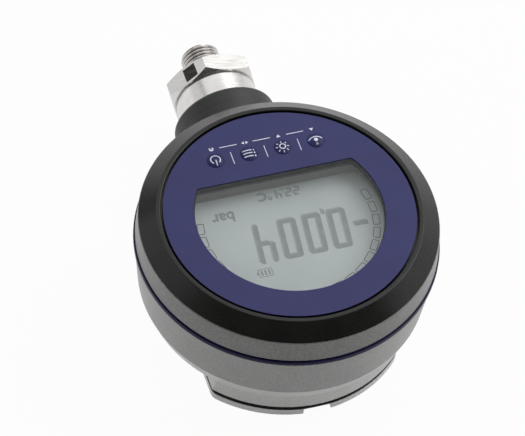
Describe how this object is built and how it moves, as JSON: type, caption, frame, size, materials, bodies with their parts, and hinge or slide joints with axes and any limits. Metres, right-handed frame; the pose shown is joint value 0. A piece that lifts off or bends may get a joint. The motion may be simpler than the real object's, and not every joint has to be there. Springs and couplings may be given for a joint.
{
  "type": "digital pressure gauge",
  "caption": "Round digital pressure gauge with a display window, domed keys, a screwed battery cover under its foot and a swivelling threaded process connection.",
  "frame": {"origin": "centre of the battery cover's outer face, on which the gauge lies", "axes": "+Z is the display's normal, +Y runs to the display's top edge, -Y along the process connection"},
  "size_m": [0.1, 0.1436, 0.0531],
  "materials": {
    "silver_casting": "silver lacquer with a fine grain",
    "black_plastic": "moulded, satin",
    "grey_plastic": "moulded, matt",
    "neck_plastic": "moulded, fine grain",
    "blue_foil": "satin printed foil",
    "clear_pane": "clear",
    "display": "grey-green display",
    "light_plate": "milky",
    "navy_stripe": "glossy",
    "black_rubber": "matt",
    "steel": "turned",
    "zinc_screw": "zinc plated",
    "spring_nickel": "nickel plated",
    "board": "solder resist",
    "cell_jacket": "printed jacket, left plain",
    "lead_jacket": "insulated lead"
  },
  "bodies": {
    "gauge_head": {"rear_case": "silver_casting", "front_case": "silver_casting", "battery_cover": "silver_casting", "stripe_seal": "navy_stripe", "cover_seal": "black_rubber", "front_bezel": "black_plastic", "front_panel": "black_plastic", "keypad_foil": "blue_foil", "window_pane": "clear_pane", "lcd_glass": "display", "backlight": "light_plate", "lcd_frame": "grey_plastic", "main_board": "board", "controller_chip": "black_plastic", "sensor_socket": "light_plate", "battery_socket": "light_plate", "board_screws": "zinc_screw", "case_screws": "zinc_screw", "cover_screws": "zinc_screw", "battery_tray": "black_plastic", "battery_lead": "lead_jacket", "sensor_lead": "lead_jacket", "neck_sleeve": "neck_plastic", "neck_nut": "steel", "thrust_washer": "black_plastic", "stop_pin": "steel", "zero_switch": "black_plastic", "light_switch": "black_plastic", "menu_switch": "black_plastic", "power_switch": "black_plastic", "battery_1": "cell_jacket", "plus_contact_1": "spring_nickel", "minus_contact_1": "spring_nickel", "battery_2": "cell_jacket", "plus_contact_2": "spring_nickel", "minus_contact_2": "spring_nickel", "battery_3": "cell_jacket", "plus_contact_3": "spring_nickel", "minus_contact_3": "spring_nickel"},
    "connection": {"process_connection": "steel", "swivel_o_rings": "black_rubber", "retaining_ring": "steel", "sensor_cell": "steel"},
    "zero_key": {"zero_key": "blue_foil"},
    "light_key": {"light_key": "blue_foil"},
    "menu_key": {"menu_key": "blue_foil"},
    "power_key": {"power_key": "blue_foil"}
  },
  "joints": [
    {"name": "connection_swivel", "type": "hinge", "parent": "gauge_head", "child": "connection", "pos_m": [0, -0.0654, 0.0209], "axis": [0, 1, 0], "range_deg": [-165, 165]},
    {"name": "zero_press", "type": "slide", "parent": "gauge_head", "child": "zero_key", "axis": [0, 0, -1], "range_m": [0, 0.00035], "stiffness_N_per_m": 4000},
    {"name": "light_press", "type": "slide", "parent": "gauge_head", "child": "light_key", "axis": [0, 0, -1], "range_m": [0, 0.00035], "stiffness_N_per_m": 4000},
    {"name": "menu_press", "type": "slide", "parent": "gauge_head", "child": "menu_key", "axis": [0, 0, -1], "range_m": [0, 0.00035], "stiffness_N_per_m": 4000},
    {"name": "power_press", "type": "slide", "parent": "gauge_head", "child": "power_key", "axis": [0, 0, -1], "range_m": [0, 0.00035], "stiffness_N_per_m": 4000}
  ]
}
